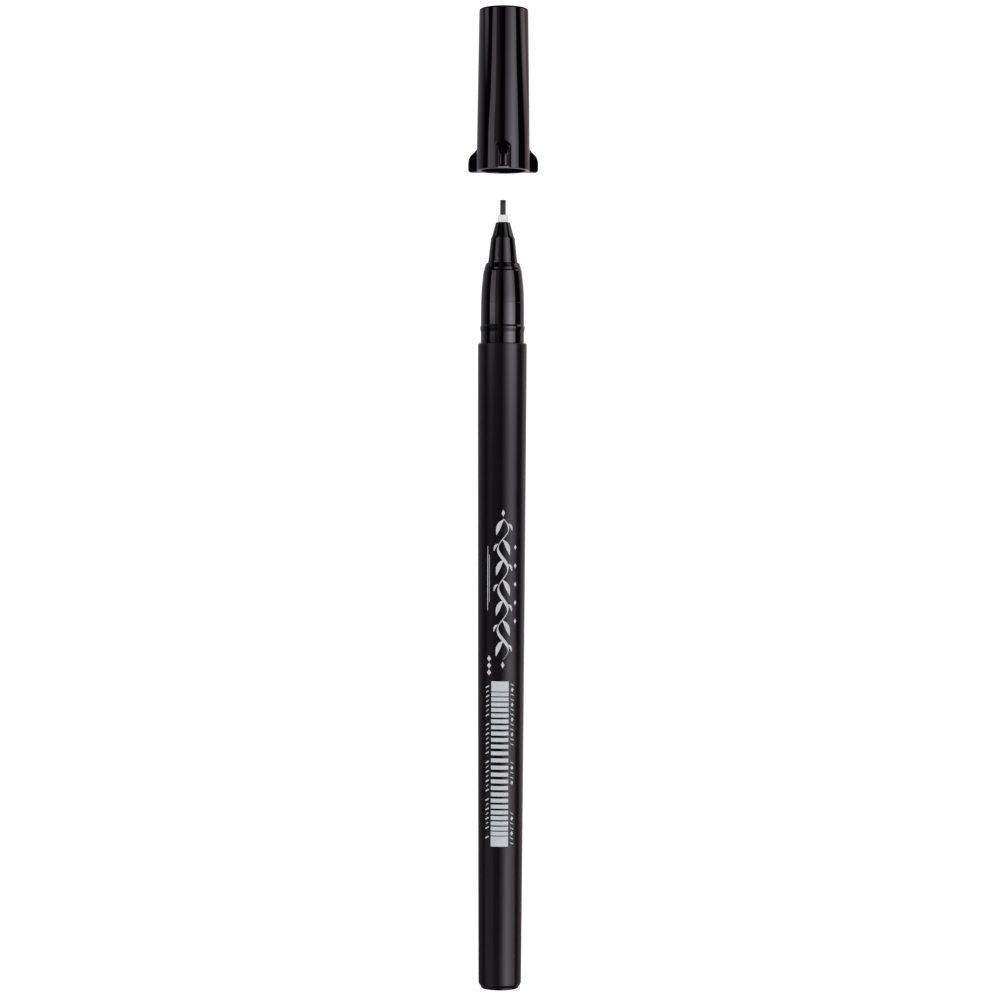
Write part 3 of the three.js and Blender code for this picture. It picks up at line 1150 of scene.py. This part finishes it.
def make_tent():
    """A tube of light panels round the pen, which only gloss sees."""
    radius, step_a = 150.0, 1.0
    angles = np.arange(-180, 180, step_a)
    xs = np.concatenate([np.arange(-330, -20, 4.0), np.arange(-20, 180, 1.5), np.arange(180, 331, 5.0)])
    aa, xx = np.meshgrid(angles, xs)
    t = FACING + np.radians(aa)
    verts = np.stack([xx * MM, radius * np.cos(t) * MM, (AXIS_Z + radius * np.sin(t)) * MM], -1)
    rows, cols = aa.shape
    faces = []
    for i in range(rows - 1):
        for j in range(cols):
            k = (j + 1) % cols
            faces.append((i * cols + j, i * cols + k, (i + 1) * cols + k, (i + 1) * cols + j))
    obj = mesh_object("light_tent", verts.reshape(-1, 3), faces, smooth=False)
    glow = panels(aa, xx)
    warm = ease(aa, 84, 104)  # the far right is warmer than the rest
    tint = np.stack([1.06 + 0.15 * warm, 1 + 0 * warm, 1.1 - 0.05 * warm, 1 + 0 * warm], -1)
    data = obj.data.attributes.new("glow", "FLOAT_COLOR", "POINT")
    data.data.foreach_set("color", (glow[..., None] * tint).astype(np.float32).ravel())
    material = bpy.data.materials.new("light_tent_glow")
    material.use_nodes = True
    tree = material.node_tree
    tree.nodes.clear()
    out = tree.nodes.new("ShaderNodeOutputMaterial")
    read = tree.nodes.new("ShaderNodeAttribute")
    read.attribute_name = "glow"
    lit = tree.nodes.new("ShaderNodeEmission")
    tree.links.new(read.outputs["Color"], lit.inputs["Color"])
    tree.links.new(lit.outputs[0], out.inputs["Surface"])
    material.cycles.emission_sampling = "NONE"
    obj.data.materials.append(material)
    obj.visible_camera = False
    obj.visible_diffuse = False
    obj.visible_transmission = False
    obj.visible_volume_scatter = False
    obj.visible_shadow = False
    return obj


make_tent()


def make_world():
    """White behind everything, an even soft light on matte surfaces, and nothing more for gloss."""
    world = bpy.data.worlds.new("studio")
    bpy.context.scene.world = world
    world.use_nodes = True
    tree = world.node_tree
    tree.nodes.clear()
    out = tree.nodes.new("ShaderNodeOutputWorld")
    path = tree.nodes.new("ShaderNodeLightPath")

    def background(strength):
        node = tree.nodes.new("ShaderNodeBackground")
        node.inputs["Color"].default_value = (1, 1, 1, 1)
        node.inputs["Strength"].default_value = strength
        return node.outputs[0]

    seen, soft, dark = background(1.15), background(0.35), background(0.01)
    glossy = tree.nodes.new("ShaderNodeMixShader")
    tree.links.new(path.outputs["Is Glossy Ray"], glossy.inputs["Fac"])
    tree.links.new(soft, glossy.inputs[1])
    tree.links.new(dark, glossy.inputs[2])
    camera = tree.nodes.new("ShaderNodeMixShader")
    tree.links.new(path.outputs["Is Camera Ray"], camera.inputs["Fac"])
    tree.links.new(glossy.outputs[0], camera.inputs[1])
    tree.links.new(seen, camera.inputs[2])
    tree.links.new(camera.outputs[0], out.inputs["Surface"])
    world.cycles.sampling_method = "NONE"


make_world()


def make_sun():
    """The front light, from the camera's side, so that the pen hides its own shadow."""
    data = bpy.data.lights.new("front_light", "SUN")
    data.energy = 1.45
    data.angle = math.radians(4)
    obj = bpy.data.objects.new("front_light", data)
    bpy.context.scene.collection.objects.link(obj)
    obj.rotation_mode = "QUATERNION"
    lean = math.radians(7)  # a little from the tail, so that the cap hides its shadow too
    source = TOWARD * math.cos(lean) - Vector((math.sin(lean), 0, 0))
    obj.rotation_quaternion = source.to_track_quat("Z", "Y")
    obj.location = source * 1.5
    obj.visible_glossy = False


make_sun()


# ------------------------------------------------------------------ camera


def make_camera():
    data = bpy.data.cameras.new("camera")
    data.sensor_width = 36.0
    data.lens = 100.95
    data.clip_start, data.clip_end = 0.01, 60.0
    obj = bpy.data.objects.new("camera", data)
    bpy.context.scene.collection.objects.link(obj)
    along, away = Vector((1, 0, 0)), 528.3 * MM
    aim = Vector((-0.32 * MM, 0, AXIS_Z * MM)) - RIGHT * 0.33 * MM
    roll = math.radians(0.246)
    up = along * math.cos(roll) - RIGHT * math.sin(roll)
    side = RIGHT * math.cos(roll) + along * math.sin(roll)
    turn = Matrix((side, up, TOWARD)).transposed()
    obj.matrix_world = Matrix.Translation(aim + TOWARD * away) @ turn.to_4x4()
    bpy.context.scene.camera = obj


make_camera()

view = bpy.context.scene.view_settings
view.view_transform = "Standard"
view.look = "None"
view.exposure = 0.0
view.gamma = 1.0
